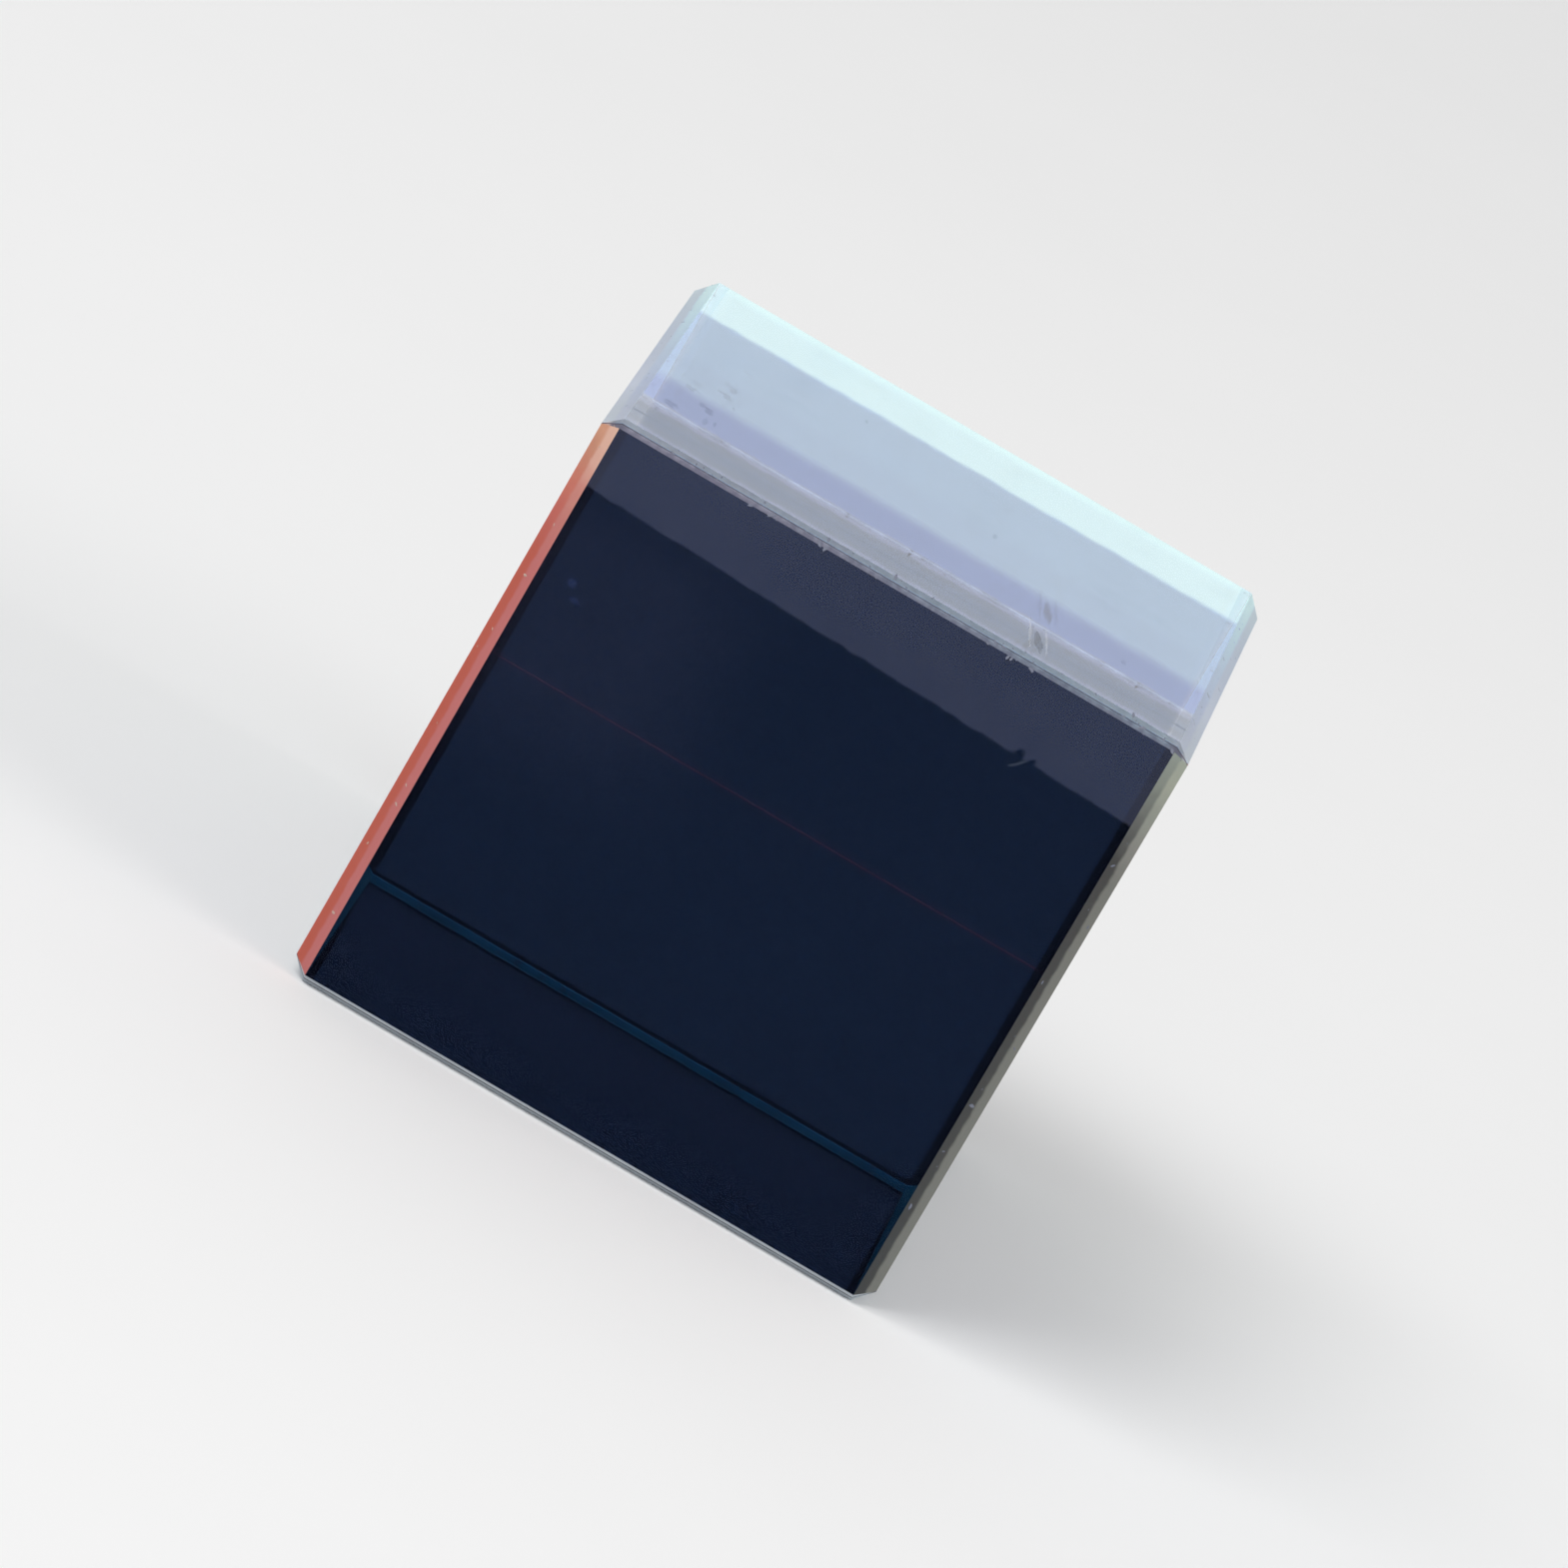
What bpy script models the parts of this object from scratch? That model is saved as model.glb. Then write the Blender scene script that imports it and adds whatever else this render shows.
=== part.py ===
"""Crossed dichroic prism cube.

Four right-angle glass prisms stand round one axis with their right-angle edges together.
Two thin mirror films cross between them: a blue-reflecting one that runs from edge to edge,
and a red-reflecting one in two halves, one on each side of it. Each film is the coating
together with the optical cement that bonds the glass to it.

Metres, +Z up. The axis of the crossing films runs along X. The front of the cube faces -Y,
and the origin is the centre of the face that it stands on.
"""

import math

import bpy
from mathutils import Matrix, Vector

# Driving dimensions
SECTION_SIDE = 0.022  # depth and height of the square section that the films cross
AXIS_LENGTH = 0.022  # along X, from one ground end face to the other
LONG_BEVEL = 0.0003  # leg of the 45 degree protective bevel on the four edges along X
END_BEVEL = 0.0006  # leg of the wider bevel on the eight edges round the two end faces
FILM_THICKNESS = 0.00003  # coating and cement, drawn a little thicker than the real bond
BOND_CLEARANCE = 0.00001  # left between a film and the glass, or the other film

# Derived dimensions
BOND_GAP = FILM_THICKNESS + 2 * BOND_CLEARANCE  # between two prisms' coated faces
HALF_DIAGONAL = SECTION_SIDE / math.sqrt(2)
OVERRUN = END_BEVEL + SECTION_SIDE / 4  # how far a blank reaches past the finished cube
BLANK_REACH = HALF_DIAGONAL + OVERRUN
BLANK_LENGTH = AXIS_LENGTH + 2 * OVERRUN
AXIS_HEIGHT = SECTION_SIDE / 2  # of the line where the films cross

# Each prism is named for the optical face that it shows, and turned about X from the top one.
PRISM_TURNS = {
    "prism_top": 0,
    "prism_front": 90,
    "prism_bottom": 180,
    "prism_back": 270,
}
# The films lie on the section's diagonals, as turns about X from the vertical.
BLUE_FILM_TURN = -45  # from the lower front edge to the upper back edge
RED_FILM_TURN = 45  # from the upper front edge to the lower back edge

GLASS_COLOUR = (0.80, 0.88, 0.92, 1.0)
BLUE_FILM_COLOUR = (0.02, 0.05, 0.30, 1.0)
RED_FILM_COLOUR = (0.75, 0.20, 0.10, 1.0)
GLASS_IOR = 1.52
GLASS_ROUGHNESS = 0.02
FILM_ROUGHNESS = 0.06


def clear_scene():
    for obj in list(bpy.data.objects):
        bpy.data.objects.remove(obj, do_unlink=True)


def new_collection(name):
    collection = bpy.data.collections.new(name)
    bpy.context.scene.collection.children.link(collection)
    return collection


def move_to(obj, collection):
    for old in list(obj.users_collection):
        old.objects.unlink(obj)
    collection.objects.link(obj)


def principled(name, colour, roughness, metallic=0.0, transmission=0.0):
    """A Principled material of the given finish."""
    material = bpy.data.materials.new(name)
    material.use_nodes = True
    shader = material.node_tree.nodes["Principled BSDF"]
    shader.inputs["Base Color"].default_value = colour
    shader.inputs["Roughness"].default_value = roughness
    shader.inputs["Metallic"].default_value = metallic
    shader.inputs["Transmission Weight"].default_value = transmission
    shader.inputs["IOR"].default_value = GLASS_IOR
    material.diffuse_color = colour
    return material


def block(name, size, centre, turn, pivot, material, collection):
    """A cuboid primitive of the given size about centre, then turned about X round pivot."""
    bpy.ops.mesh.primitive_cube_add(size=1)
    obj = bpy.context.active_object
    obj.name = name
    obj.data.name = name
    obj.data.transform(Matrix.Translation(centre) @ Matrix.Diagonal((*size, 1)))
    obj.location = pivot
    obj.rotation_euler = (math.radians(turn), 0, 0)
    if material is not None:
        obj.data.materials.append(material)
    move_to(obj, collection)
    return obj


def runs_along_x(mesh, edge):
    start, end = (mesh.vertices[i].co for i in edge.vertices)
    return abs((end - start).normalized().x) > 0.5


def bevel_edges(obj):
    """Bevels a block's edges along X by LONG_BEVEL and the others by END_BEVEL."""
    widest = max(LONG_BEVEL, END_BEVEL)
    mesh = obj.data
    weights = mesh.attributes.new("bevel_weight_edge", "FLOAT", "EDGE")
    for edge in mesh.edges:
        width = LONG_BEVEL if runs_along_x(mesh, edge) else END_BEVEL
        weights.data[edge.index].value = width / widest
    bevel = obj.modifiers.new("protective_bevel", "BEVEL")
    bevel.width = widest
    bevel.offset_type = "OFFSET"
    bevel.segments = 1
    bevel.limit_method = "WEIGHT"


def cube_envelope(helpers):
    """The finished outside of the cube, bevelled on all twelve edges, as one hidden solid."""
    envelope = block(
        "cube_envelope",
        (AXIS_LENGTH, SECTION_SIDE, SECTION_SIDE),
        Vector((0, 0, 0)),
        0,
        Vector((0, 0, AXIS_HEIGHT)),
        None,
        helpers,
    )
    bevel_edges(envelope)
    envelope.hide_render = True
    envelope.display_type = "WIRE"
    return envelope


def cut_to(obj, envelope):
    """Trims a blank to the finished outside of the cube."""
    trim = obj.modifiers.new("trim_to_cube", "BOOLEAN")
    trim.operation = "INTERSECT"
    trim.solver = "EXACT"
    trim.object = envelope


def right_angle_prism(name, turn, glass, envelope, parts):
    """One prism: a square blank whose edge nearest the axis is the right angle.

    Its two faces at that edge are the coated legs, half a bond gap off the diagonals, and the
    cube's outside trims the optical face opposite to them.
    """
    corner = BOND_GAP / 2 + BLANK_REACH / 2
    prism = block(
        name,
        (BLANK_LENGTH, BLANK_REACH, BLANK_REACH),
        Vector((0, corner, corner)),
        45 + turn,
        Vector((0, 0, AXIS_HEIGHT)),
        glass,
        parts,
    )
    cut_to(prism, envelope)
    return prism


def mirror_film(name, turn, low, high, material, envelope, parts):
    """A film on one diagonal, from low to high along it, both measured from the axis."""
    film = block(
        name,
        (BLANK_LENGTH, FILM_THICKNESS, high - low),
        Vector((0, 0, (low + high) / 2)),
        turn,
        Vector((0, 0, AXIS_HEIGHT)),
        material,
        parts,
    )
    cut_to(film, envelope)
    return film


def build():
    clear_scene()
    parts = new_collection("dichroic_prism_cube")
    helpers = new_collection("cutters")
    glass = principled("optical_glass", GLASS_COLOUR, GLASS_ROUGHNESS, transmission=1.0)
    blue = principled("blue_mirror_film", BLUE_FILM_COLOUR, FILM_ROUGHNESS, metallic=1.0)
    red = principled("red_mirror_film", RED_FILM_COLOUR, FILM_ROUGHNESS, metallic=1.0)
    envelope = cube_envelope(helpers)
    for name, turn in PRISM_TURNS.items():
        right_angle_prism(name, turn, glass, envelope, parts)
    mirror_film(
        "blue_mirror_film", BLUE_FILM_TURN, -BLANK_REACH, BLANK_REACH, blue, envelope, parts
    )
    past_blue_film = FILM_THICKNESS / 2 + BOND_CLEARANCE
    mirror_film(
        "red_mirror_film_upper", RED_FILM_TURN, past_blue_film, BLANK_REACH, red, envelope, parts
    )
    mirror_film(
        "red_mirror_film_lower", RED_FILM_TURN, -BLANK_REACH, -past_blue_film, red, envelope, parts
    )


build()
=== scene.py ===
# %% [markdown]
# # A crossed dichroic prism cube
#
# Four right-angle prisms of clear glass are cemented together round one line, and two mirror
# films cross between them. One film turns blue light aside, the other turns red light aside,
# and what is left goes straight on, so the cube joins three coloured beams into one or parts
# white light into three. This lesson takes the plain solids of such a cube and dresses them:
# coated faces, ground edges, coloured films, and small chips and scratches. Then it sets up
# a plain studio round them.

# %% Load the solids
import math

import bpy
from mathutils import Matrix, Vector


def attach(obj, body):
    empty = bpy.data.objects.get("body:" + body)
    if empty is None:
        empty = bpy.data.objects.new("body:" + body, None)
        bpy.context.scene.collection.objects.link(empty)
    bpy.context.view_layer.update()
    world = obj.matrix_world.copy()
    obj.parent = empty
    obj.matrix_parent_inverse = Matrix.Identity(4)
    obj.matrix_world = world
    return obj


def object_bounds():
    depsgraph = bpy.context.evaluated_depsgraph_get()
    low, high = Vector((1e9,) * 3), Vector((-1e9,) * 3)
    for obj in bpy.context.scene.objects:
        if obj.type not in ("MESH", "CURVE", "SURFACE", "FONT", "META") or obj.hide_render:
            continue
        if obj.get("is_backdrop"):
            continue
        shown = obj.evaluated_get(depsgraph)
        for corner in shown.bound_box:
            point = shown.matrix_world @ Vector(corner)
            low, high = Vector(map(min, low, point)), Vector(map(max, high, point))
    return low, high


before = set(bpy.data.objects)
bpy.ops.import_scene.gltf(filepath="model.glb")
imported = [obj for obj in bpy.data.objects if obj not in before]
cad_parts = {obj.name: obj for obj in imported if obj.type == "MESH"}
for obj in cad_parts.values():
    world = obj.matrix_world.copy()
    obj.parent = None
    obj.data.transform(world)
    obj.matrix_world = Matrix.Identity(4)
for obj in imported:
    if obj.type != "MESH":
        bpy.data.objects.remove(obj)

cad_low, cad_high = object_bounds()
MM = 0.001
SIDE = cad_high.z - cad_low.z
HALF = SIDE / 2
print(f"The cube's side is {SIDE / MM:.1f} mm, in", ", ".join(sorted(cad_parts)))

# %% [markdown]
# ## One method for every node
#
# A procedural finish is a tree of nodes, and so is a Geometry Nodes recipe. Written call by
# call, each node takes four or five lines, and the thought behind it is soon lost. So both
# kinds of tree share one method here. It takes a node's type, then its settings, and then
# what its sockets get: a plain value, or a link from another socket.


# %% A tree of nodes
class Nodes:
    """A node tree, and the one method that adds a node to it."""

    def __init__(self, tree):
        self.tree = tree

    def node(self, kind, settings=None, sockets=None):
        made = self.tree.nodes.new(kind)
        for name, setting in (settings or {}).items():
            if name == "stops":
                self.set_stops(made.color_ramp, setting)
            else:
                setattr(made, name, setting)
        for name, value in (sockets or {}).items():
            self.feed(made.inputs[name], value)
        return made

    def feed(self, socket, value):
        """Links a socket to another one, or gives it a plain value."""
        if isinstance(value, Number):
            value = value.socket
        if isinstance(value, bpy.types.NodeSocket):
            self.tree.links.new(value, socket)
        elif socket.type == "RGBA":
            socket.default_value = (*value, 1.0)
        else:
            socket.default_value = value

    def set_stops(self, ramp, stops):
        while len(ramp.elements) < len(stops):
            ramp.elements.new(1.0)
        for element, (place, colour) in zip(ramp.elements, stops):
            element.position = place
            element.color = (*colour, 1.0)

    def number(self, kind, output, settings=None, sockets=None):
        return Number(self, self.node(kind, settings, sockets).outputs[output])

    def vector(self, operation, first, second):
        """Vector maths. A plain second value may be a vector, or the factor of a SCALE."""
        sockets = {0: first, ("Scale" if operation == "SCALE" else 1): second}
        return self.node("ShaderNodeVectorMath", {"operation": operation}, sockets).outputs[0]


# %% [markdown]
# ## Sums that build their own Math nodes
#
# How deep below the edge is this point? How far is it from that mark? These are small sums,
# and Blender writes each sign in them as a Math node. The class below wraps a socket and
# overloads the signs, so that `depth - z` adds its own node. Each sign also has a reflected
# form, because in `1 - mask` the plain number comes first.


# %% Numbers that can be added and multiplied
class Number:
    """One number in a node tree. A sum on it adds the Math node that works it out."""

    def __init__(self, nodes, socket):
        self.nodes = nodes
        self.socket = socket

    def sum(self, operation, first, second):
        sockets = {0: first, 1: second}
        return self.nodes.number("ShaderNodeMath", 0, {"operation": operation}, sockets)

    def __add__(self, other):
        return self.sum("ADD", self, other)

    def __radd__(self, other):
        return self.sum("ADD", other, self)

    def __sub__(self, other):
        return self.sum("SUBTRACT", self, other)

    def __rsub__(self, other):
        return self.sum("SUBTRACT", other, self)

    def __mul__(self, other):
        return self.sum("MULTIPLY", self, other)

    def __rmul__(self, other):
        return self.sum("MULTIPLY", other, self)

    def __truediv__(self, other):
        return self.sum("DIVIDE", self, other)

    def __pow__(self, other):
        return self.sum("POWER", self, other)

    def most(self, other):
        return self.sum("MAXIMUM", self, other)

    def size(self):
        return self.sum("ABSOLUTE", self, 0.0)


# %% [markdown]
# ## What a finish starts from
#
# No real face is one flat colour: it has clouds, streaks and worn places. Each finish here
# starts from the point's own place on the cube, so its pattern stays on the glass when the
# camera moves. It takes noise whose lumps have a size in millimetres, eases it into a mask,
# and blends two colours or two shaders by that mask.


# %% The tools of a finish
class Finish(Nodes):
    """A material, or the world's light, and what its sums start from."""

    def __init__(self, name, world=False):
        self.made = (bpy.data.worlds if world else bpy.data.materials).new(name)
        self.made.use_nodes = True
        super().__init__(self.made.node_tree)
        self.tree.nodes.clear()
        self.output = self.node("ShaderNodeOutputWorld" if world else "ShaderNodeOutputMaterial")
        if not world:
            self.where = self.node("ShaderNodeTexCoord").outputs["Object"]

    def place(self):
        """The point's X, Y and Z in millimetres."""
        parts = self.node("ShaderNodeSeparateXYZ", None, {0: self.where})
        return [Number(self, parts.outputs[axis]) / MM for axis in range(3)]

    def ease(self, value, low, high):
        """0 below low, 1 above high, and a smooth rise between them."""
        sockets = {"Value": value, "From Min": low, "From Max": high}
        return self.number(
            "ShaderNodeMapRange", 0, {"interpolation_type": "SMOOTHSTEP"}, sockets
        )

    def speckle(self, size, detail):
        """Soft noise between 0 and 1 whose lumps are about size millimetres across."""
        sockets = {"Vector": self.where, "Scale": 1 / (size * MM), "Detail": detail}
        return self.number("ShaderNodeTexNoise", 0, None, sockets)

    def wander(self, size, detail, amount):
        """Soft noise about 0, up to half the amount either way."""
        return (self.speckle(size, detail) - 0.5) * amount

    def blend(self, share, first, second):
        """The first colour where the share is 0, the second where it is 1."""
        return self.node(
            "ShaderNodeMix", {"data_type": "RGBA"}, {0: share, 6: first, 7: second}
        ).outputs[2]

    def ramp(self, place, stops):
        """A colour that runs through (place in mm, colour) stops along one axis."""
        first, last = stops[0][0], stops[-1][0]
        shares = [((at - first) / (last - first), colour) for at, colour in stops]
        share = (place - first) / (last - first)
        return self.node("ShaderNodeValToRGB", {"stops": shares}, {0: share}).outputs[0]

    def shader(self, kind, sockets):
        return self.node(kind, None, sockets).outputs[0]

    def principled(self, sockets):
        return self.shader("ShaderNodeBsdfPrincipled", sockets)

    def plain(self, kind, colour):
        """A simple shader, such as Diffuse, that takes only a colour."""
        return self.shader("ShaderNodeBsdf" + kind, {"Color": colour})

    def bumped(self, height, depth, strength):
        """A normal that makes a surface look rough: depth is in metres."""
        sockets = {"Strength": strength, "Distance": depth, "Height": height}
        return self.node("ShaderNodeBump", None, sockets).outputs[0]

    def layer(self, share, under, over):
        """One shader over another, covering the given share of it."""
        return self.shader("ShaderNodeMixShader", {0: share, 1: under, 2: over})

    def show(self, shader):
        self.feed(self.output.inputs["Surface"], shader)
        return self.made


# %% [markdown]
# ## Coated, polished faces
#
# The optical faces are polished flat and carry an anti-reflection coating. That is why the
# front looks so deep: hardly any of the bright room comes back off it, and the eye looks
# straight into the crossed films. A Principled shader with full transmission does the
# bending, and the total reflection inside the prisms. Its Specular Tint, low and a little
# blue, does what the coating does to the reflection.

# %% The glass that every polished face shares
GLASS_INDEX = 1.52  # how strongly crown glass bends light
COATING_SHEEN = (0.08, 0.10, 0.20)  # what the coating leaves of bare glass's reflection
CLEAR_GLASS = (0.99, 0.995, 1.0)
GREYER_GLASS = (0.96, 0.97, 0.98)


def coated_glass(finish, bare=0.0):
    """Clear glass. bare is 1 where its coating is missing, and the surface then reflects."""
    streaks = finish.ease(finish.speckle(size=6.0, detail=3.0), 0.45, 0.75)
    return finish.principled(
        {
            "Base Color": finish.blend(streaks, CLEAR_GLASS, GREYER_GLASS),
            "Roughness": 0.0,
            "IOR": GLASS_INDEX,
            "Transmission Weight": 1.0,
            "Specular Tint": COATING_SHEEN,
            "Coat Weight": bare,
            "Coat IOR": GLASS_INDEX,
        }
    )


PLAIN_BLOOM = 0.02  # the most that the bloom hides
PLAIN_DUST = (0.7, 0.75, 0.8)


def plain_face():
    """A face with only the faint bloom that wiping leaves."""
    finish = Finish("coated glass")
    clouds = finish.ease(finish.speckle(size=4.0, detail=5.0), 0.5, 0.8)
    bloom = clouds * PLAIN_BLOOM
    dust = finish.plain("Diffuse", PLAIN_DUST)
    return finish.show(finish.layer(bloom, coated_glass(finish), dust))


coated_face = plain_face()
print("Made", coated_face.name)

# %% [markdown]
# ## Marks on a face
#
# Fingers, dust and small knocks leave spots with a ragged outline. Each is worked out: the
# distance from its middle is a sum of squares, and noise eats into its edge. A list then
# holds the place, the reach and the density of every mark on a face.


# %% A ragged spot
def ragged_spot(finish, across, along, centre, reach):
    """1 in a ragged spot about its centre, and 0 outside its reach. All in millimetres."""
    off_across = (across - centre[0]) / reach[0]
    off_along = (along - centre[1]) / reach[1]
    far = off_across * off_across + off_along * off_along
    ragged = finish.wander(size=0.25, detail=3.0, amount=3.0)
    return finish.ease(1.0 - far + ragged, 0.1, 0.9)


def all_spots(finish, across, along, marks):
    """The spots of a list of marks together, each as dense as its last value says."""
    total = 0.0
    for centre, reach, density in marks:
        total = ragged_spot(finish, across, along, centre, reach) * density + total
    return total


# %% [markdown]
# ## The front face
#
# Along the top of the front the coating stops, because that strip was covered while the face
# was coated. Its lower edge runs slightly downhill to the right, and the bare glass above it
# reflects the room as a slate grey. A Coat Weight that follows the strip gives that
# reflection, and a thin bluish Diffuse layer, a painted reflection, gives its tint. Where a
# knock has dulled the strip's edge the reflection is missing again. The left of the face has
# a faint bluish haze.


# %% The bare strip and the haze
STRIP_DEPTH = 2.86  # mm below the cube's top, where the bare strip ends at mid-width
STRIP_SLOPE = 0.033  # mm deeper for each mm to the right
STRIP_SOFTNESS = 0.06  # mm from the middle of its edge to where the coating is whole
COATED_SPOTS = [  # X and Z in mm of what a knock has dulled, reach along each, density
    ((6.12, 19.05), (0.20, 0.26), 1.0),
    ((6.58, 18.96), (0.18, 0.24), 1.0),
    ((5.90, 18.94), (0.20, 0.18), 0.9),
]
HAZE = 0.0125  # how much of the glass the haze hides
HAZE_FADES = (-7.0, -1.0)  # X in mm where it starts to fade, and where it is gone
HAZE_STARTS = (8.0, 14.0)  # Z in mm between which it comes in
HAZE_THINS = (17.5, 19.5)  # Z in mm between which it loses a part again
HAZE_LOSS = 0.4


def bare_strip(finish, x, z):
    """1 where the coating is missing, and 0 where it is whole."""
    uneven = finish.wander(size=1.2, detail=4.0, amount=0.15)
    ragged = finish.wander(size=0.3, detail=2.0, amount=0.12)
    into_strip = z - (SIDE / MM - STRIP_DEPTH - STRIP_SLOPE * x) + uneven + ragged
    bare = finish.ease(into_strip, -STRIP_SOFTNESS, STRIP_SOFTNESS)
    return bare * (1.0 - all_spots(finish, x, z, COATED_SPOTS))


def left_haze(finish, x, z):
    """How much the haze hides: most at the left, a little less up by the strip."""
    at_left = 1.0 - finish.ease(x, *HAZE_FADES)
    part_way = finish.ease(z, *HAZE_STARTS) - finish.ease(z, *HAZE_THINS) * HAZE_LOSS
    clouds = 1.0 + finish.wander(size=3.0, detail=3.0, amount=0.5)
    return at_left * part_way * clouds * HAZE


# %% The whole front
STRIP_REFLECTION = 0.56
# Painted reflection: a bluish Diffuse layer gives the bare strip's slate grey its tint.
STRIP_SHEEN_SHARE = 0.036
STRIP_SHEEN_AND_DUST = (0.18, 0.30, 0.95)
HAZE_TINT = (0.50, 0.53, 0.95)
FRONT_MARKS = [  # X and Z in mm, reach along each, density
    ((-9.2, 16.4), (0.25, 0.20), 0.05),
    ((-8.9, 15.9), (0.30, 0.15), 0.05),
]


def front_face():
    finish = Finish("coated glass, front face")
    x, _, z = finish.place()
    bare = bare_strip(finish, x, z)
    wiped = 1.0 + finish.wander(size=1.6, detail=3.0, amount=0.5)
    glass = coated_glass(finish, bare * wiped * STRIP_REFLECTION)
    # the painted reflection on the bare strip, and the front marks
    bloom = bare * STRIP_SHEEN_SHARE + all_spots(finish, x, z, FRONT_MARKS)
    dust_and_sheen = finish.layer(bloom, glass, finish.plain("Diffuse", STRIP_SHEEN_AND_DUST))
    haze = left_haze(finish, x, z)
    return finish.show(finish.layer(haze, dust_and_sheen, finish.plain("Diffuse", HAZE_TINT)))


coated_front = front_face()
print("Made", coated_front.name, "with a bare strip", STRIP_DEPTH, "mm deep")

# %% [markdown]
# ## The top face
#
# The top has lost a little of its polish: two small groups of dark smudges near the left end,
# and a few stray ones. They are the same ragged spots, mixed in as a dark dust that covers
# only a part of the glass, so that the bands of colour below still show through them.

# %% The smudged top
TOP_BLOOM = 0.03
TOP_DUST = (0.04, 0.045, 0.07)
TOP_MARKS = [  # X and Y in mm, reach along each, density
    ((-8.55, -4.3), (0.20, 0.40), 0.16),
    ((-8.25, -4.6), (0.24, 0.50), 0.21),
    ((-8.20, -5.9), (0.12, 0.60), 0.12),
    ((-9.45, -6.2), (0.30, 0.50), 0.18),
    ((-9.75, -7.6), (0.10, 0.35), 0.12),
    ((-7.88, -5.7), (0.08, 0.45), 0.15),
    ((1.9, 0.1), (0.12, 0.40), 0.12),
    ((-3.7, 4.6), (0.10, 0.30), 0.12),
    ((7.6, -5.6), (0.12, 0.35), 0.10),
]


def top_face():
    finish = Finish("coated glass, top face")
    x, y, _ = finish.place()
    bloom = finish.ease(finish.speckle(size=2.5, detail=5.0), 0.5, 0.8) * TOP_BLOOM
    smudges = all_spots(finish, x, y, TOP_MARKS)
    dust = finish.plain("Diffuse", TOP_DUST)
    return finish.show(finish.layer(bloom + smudges, coated_glass(finish), dust))


coated_top = top_face()
print("Made", coated_top.name, "with", len(TOP_MARKS), "smudges")

# %% [markdown]
# ## Cemented legs
#
# Inside the cube the prisms' short faces are bonded with a cement that bends light just as
# the glass does, so light doesn't notice them. Between two solids of glass Blender would
# still see a thin gap of air, which would turn the light back. So these faces get a plain
# Transparent shader, with the faintest haze where the cement is a little thicker.


# %% The cement
CLEAR = (1.0, 1.0, 1.0)
NEARLY_CLEAR = (0.98, 0.99, 1.0)


def cemented_leg():
    finish = Finish("cemented leg")
    thick = finish.ease(finish.speckle(size=4.0, detail=4.0), 0.55, 0.8)
    clear = finish.plain("Transparent", CLEAR)
    return finish.show(finish.layer(thick, clear, finish.plain("Transparent", NEARLY_CLEAR)))


cemented = cemented_leg()
print("Made", cemented.name)

# %% [markdown]
# ## Ground edges
#
# A sharp glass edge chips at a touch, so all twelve edges are ground to a narrow bevel, and
# the eight round the two ends, where the cube is held, to a wider one. Ground glass scatters:
# it shows the light that falls on it, and also the light that leaks out of the cube, which a
# little painted emission and a Translucent shader carry here. The red light that the films
# throw sideways gathers in the left front edge and is painted there as a coral glow,
# strongest low down. All the colours of the end bevels are painted light, and the outer and
# inner halves of each are painted in different light.

# %% Measure the bevels
top_flat = [v.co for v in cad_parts["prism_top"].data.vertices if v.co.z > SIDE - 1e-6]
LONG_BEVEL = HALF - max(point.y for point in top_flat)
END_BEVEL = HALF - max(point.x for point in top_flat)
MID_END = HALF - END_BEVEL / 2
print(f"The bevels are {LONG_BEVEL / MM:.2f} mm along X and {END_BEVEL / MM:.2f} mm at the ends")


# %% Ground glass
GRAIN_DEPTH = 0.01 * MM
LEAKED_LIGHT = (0.9, 0.95, 1.0)


def ground_glass(finish, colour, glow=0.0, through=0.1):
    """A ground surface. glow and through are the shares lit from inside the cube."""
    grain = finish.speckle(size=0.05, detail=3.0)
    surface = finish.principled(
        {
            "Base Color": colour,
            "Roughness": 0.5,
            "IOR": GLASS_INDEX,
            "Specular IOR Level": 0.25,
            "Normal": finish.bumped(grain, GRAIN_DEPTH, 0.25),
            # painted glow: emission that stands for light leaking out of the cube
            "Emission Color": colour,
            "Emission Strength": glow,
        }
    )
    return finish.layer(through, surface, finish.plain("Translucent", LEAKED_LIGHT))


HALVES_BLUR = 0.06  # mm either side of the line between the two painted halves


def end_bevel(name, axis, outer, inner, glow, through=0.1):
    """An end bevel whose two halves each run through their own painted light along an axis."""
    finish = Finish(name)
    x, y, z = finish.place()
    place = {"Y": y, "Z": z}[axis] + finish.wander(size=0.5, detail=4.0, amount=1.2)
    edge = x.size() + finish.wander(size=0.4, detail=2.0, amount=0.1)
    outside = finish.ease(edge, MID_END / MM - HALVES_BLUR, MID_END / MM + HALVES_BLUR)
    colour = finish.blend(outside, finish.ramp(place, inner), finish.ramp(place, outer))
    return finish.show(ground_glass(finish, colour, glow, through))


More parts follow.
